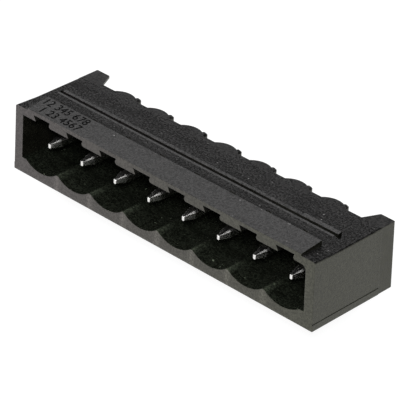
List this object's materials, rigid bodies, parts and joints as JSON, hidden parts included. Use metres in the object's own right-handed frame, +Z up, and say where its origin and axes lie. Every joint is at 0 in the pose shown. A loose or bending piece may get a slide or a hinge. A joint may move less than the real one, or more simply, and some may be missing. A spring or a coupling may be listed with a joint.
{
  "type": "pcb plug connector",
  "caption": "Right-angle board header with an open-fronted moulded housing, keying slots over a row of bent square contacts, a latching ledge along the top and ribs between the solder tails.",
  "frame": {"origin": "on the board seat, the plane of the circuit board's top face, in the middle of the row of solder tails", "axes": "+X along the row of contacts to the right as seen from the open front, +Y back from the open front, the way a plug goes in, +Z up away from the board"},
  "size_m": [0.0434, 0.0123, 0.0117],
  "materials": {
    "housing_moulding": "fine satin moulding",
    "contact_metal": "bright tin plate"
  },
  "bodies": {
    "root": {"housing": "housing_moulding", "contact_pin_1": "contact_metal", "contact_pin_2": "contact_metal", "contact_pin_3": "contact_metal", "contact_pin_4": "contact_metal", "contact_pin_5": "contact_metal", "contact_pin_6": "contact_metal", "contact_pin_7": "contact_metal", "contact_pin_8": "contact_metal"}
  },
  "joints": []
}
